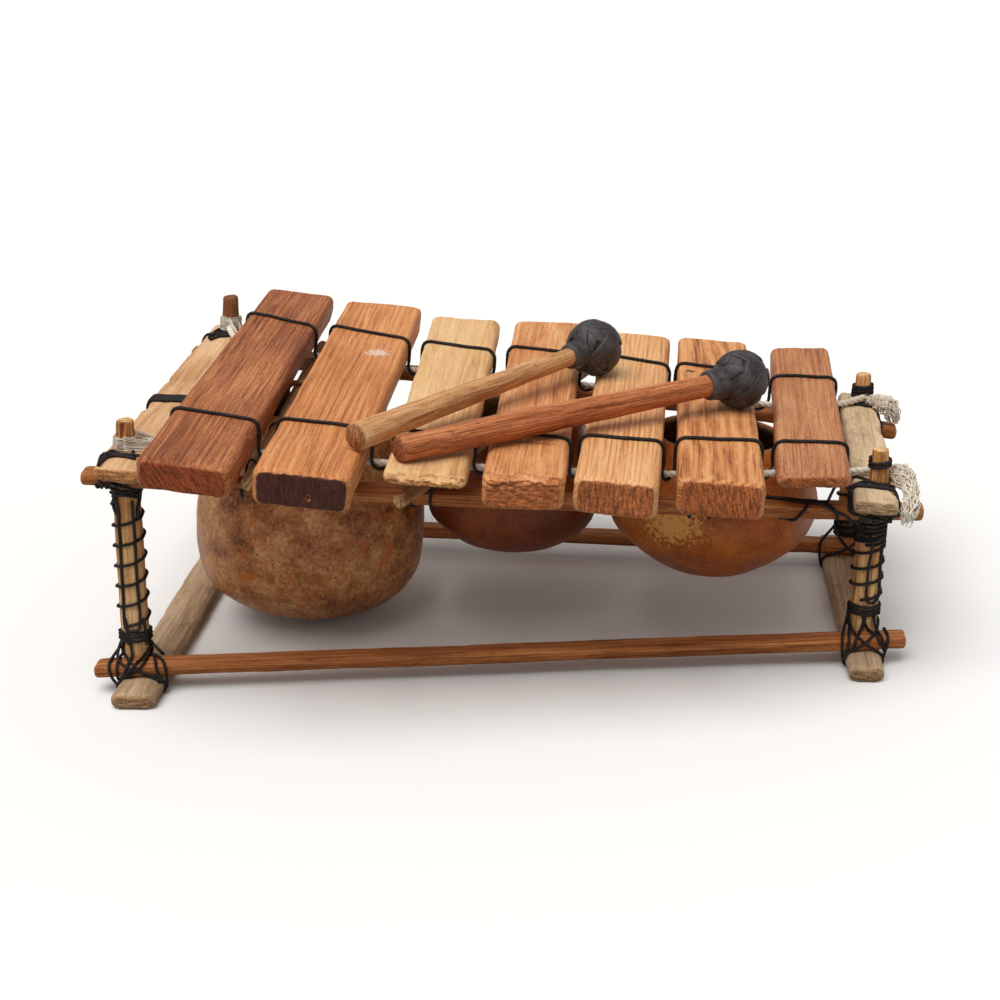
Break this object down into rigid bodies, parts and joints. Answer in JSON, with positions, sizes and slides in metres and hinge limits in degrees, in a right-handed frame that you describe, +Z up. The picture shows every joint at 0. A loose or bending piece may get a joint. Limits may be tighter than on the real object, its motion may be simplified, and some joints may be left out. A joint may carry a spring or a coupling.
{
  "type": "balafon",
  "caption": "Gourd-resonated wooden xylophone: tuned bars tied over cotton strands on a lashed wooden frame, with gourds hung below and a pair of rubber-headed mallets.",
  "frame": {"origin": "centre of the footprint, on the ground", "axes": "+X along the row of bars, from the low bars to the high ones; +Y away from the player; +Z up"},
  "size_m": [0.5092, 0.4058, 0.1884],
  "materials": {
    "foot_wood": "worn, matt",
    "board_wood": "planed, matt",
    "rail_wood": "planed, matt",
    "post_wood": "whittled, matt",
    "bar_1": "oiled, satin",
    "bar_2": "oiled, satin",
    "bar_3": "oiled, satin",
    "bar_4": "oiled, satin",
    "bar_5": "oiled, satin",
    "bar_6": "oiled, satin",
    "bar_7": "oiled, satin",
    "gourd_1": "mottled rind, satin",
    "gourd_2": "dark rind, satin",
    "gourd_3": "scraped rind, satin",
    "mallet_tan": "whittled, matt",
    "mallet_red": "whittled, matt",
    "black_cord": "twisted cord",
    "cotton": "loose cotton strand",
    "rubber": "wound strips"
  },
  "bodies": {
    "instrument": {"foot_board_left": "foot_wood", "top_board_left": "board_wood", "foot_board_right": "foot_wood", "top_board_right": "board_wood", "lower_rail_front": "rail_wood", "upper_rail_front": "rail_wood", "lower_rail_back": "rail_wood", "upper_rail_back": "rail_wood", "post_front_left": "post_wood", "foot_lashing_front_left": "black_cord", "top_lashing_front_left": "black_cord", "ladder_cord_front_left": "black_cord", "peg_winding_front_left": "cotton", "post_front_right": "post_wood", "foot_lashing_front_right": "black_cord", "top_lashing_front_right": "black_cord", "ladder_cord_front_right": "black_cord", "peg_winding_front_right": "black_cord", "post_back_left": "post_wood", "foot_lashing_back_left": "black_cord", "top_lashing_back_left": "black_cord", "ladder_cord_back_left": "black_cord", "peg_winding_back_left": "cotton", "post_back_right": "post_wood", "foot_lashing_back_right": "black_cord", "top_lashing_back_right": "black_cord", "ladder_cord_back_right": "black_cord", "peg_winding_back_right": "black_cord", "board_band_left": "black_cord", "rail_tie_right": "black_cord", "stick_tie_1": "black_cord", "gourd_stick_1": "post_wood", "gourd_1": "gourd_1", "stick_tie_2": "black_cord", "gourd_stick_2": "post_wood", "gourd_2": "gourd_2", "stick_tie_3": "black_cord", "gourd_stick_3": "post_wood", "gourd_3": "gourd_3", "strand_front": "cotton", "bar_cord_front": "black_cord", "tuft_front": "cotton", "strand_back": "cotton", "bar_cord_back": "black_cord", "tuft_back": "cotton", "bar_1": "bar_1", "bar_2": "bar_2", "bar_3": "bar_3", "bar_4": "bar_4", "bar_5": "bar_5", "bar_6": "bar_6", "bar_7": "bar_7"},
    "mallet_1": {"mallet_1_stick": "mallet_tan", "mallet_1_head": "rubber"},
    "mallet_2": {"mallet_2_stick": "mallet_red", "mallet_2_head": "rubber"}
  },
  "joints": [
    {"name": "mallet_1_lift", "type": "slide", "parent": "instrument", "child": "mallet_1", "axis": [0, 0, 1], "range_m": [0, 0.12]},
    {"name": "mallet_2_lift", "type": "slide", "parent": "instrument", "child": "mallet_2", "axis": [0, 0, 1], "range_m": [0, 0.12]}
  ]
}
